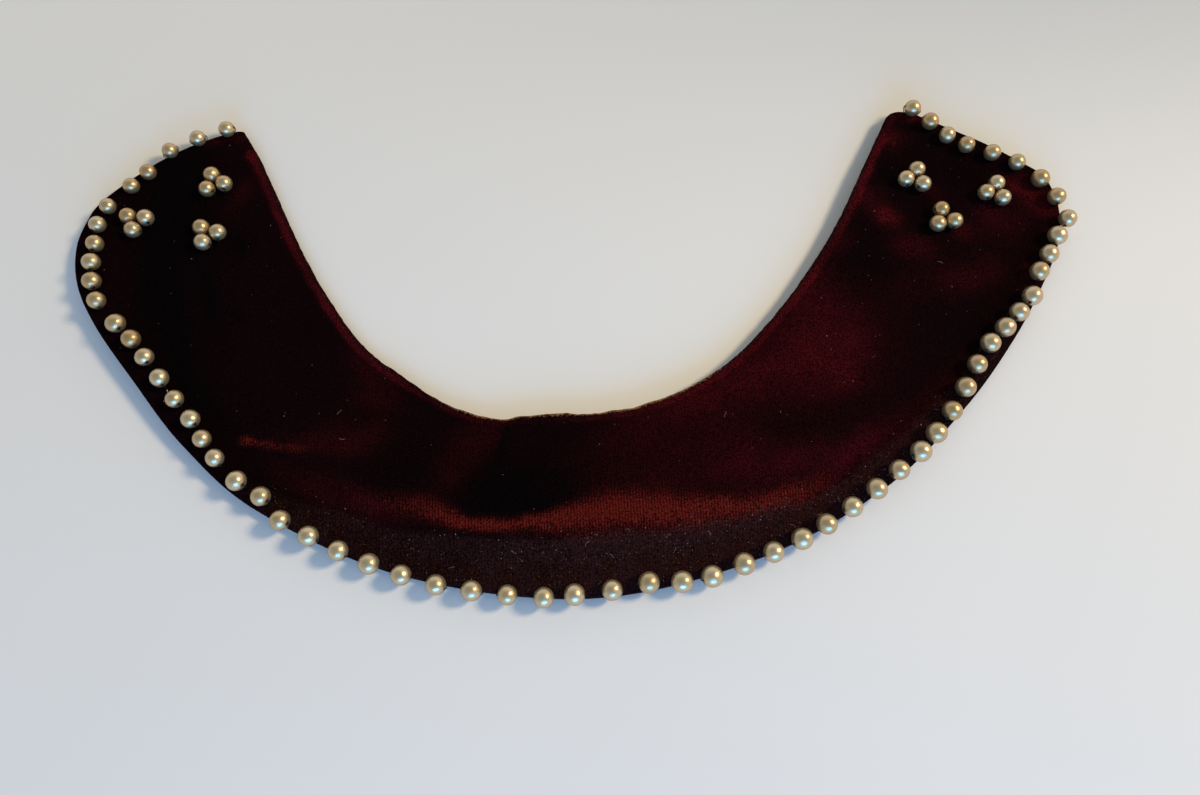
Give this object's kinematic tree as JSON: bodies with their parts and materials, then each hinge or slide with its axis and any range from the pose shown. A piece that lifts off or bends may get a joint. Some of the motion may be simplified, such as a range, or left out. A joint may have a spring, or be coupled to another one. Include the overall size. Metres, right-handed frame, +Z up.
{
  "type": "pearl-edged velvet collar",
  "caption": "Crescent-shaped detachable dress collar of dark burgundy velvet, laid open, with pearls sewn round the outer edge and trefoils of pearls near both ends.",
  "frame": {"origin": "on the surface that the collar lies on, under the middle of its outside box", "axes": "+X from the left arm to the right arm as the collar lies open, +Y from the front edge to the two free arm ends, +Z up"},
  "size_m": [0.3604, 0.1882, 0.0128],
  "materials": {
    "velvet": "dark burgundy velvet with a short pile",
    "pearl": "champagne imitation pearl lustre"
  },
  "bodies": {
    "root": {"velvet_collar": "velvet", "edge_pearls_left": "pearl", "edge_pearls_right": "pearl", "trefoil_left_back_1": "pearl", "trefoil_left_back_2": "pearl", "trefoil_left_back_3": "pearl", "trefoil_left_outer_1": "pearl", "trefoil_left_outer_2": "pearl", "trefoil_left_outer_3": "pearl", "trefoil_left_front_1": "pearl", "trefoil_left_front_2": "pearl", "trefoil_left_front_3": "pearl", "trefoil_right_back_1": "pearl", "trefoil_right_back_2": "pearl", "trefoil_right_back_3": "pearl", "trefoil_right_outer_1": "pearl", "trefoil_right_outer_2": "pearl", "trefoil_right_outer_3": "pearl", "trefoil_right_front_1": "pearl", "trefoil_right_front_2": "pearl", "trefoil_right_front_3": "pearl"}
  },
  "joints": []
}
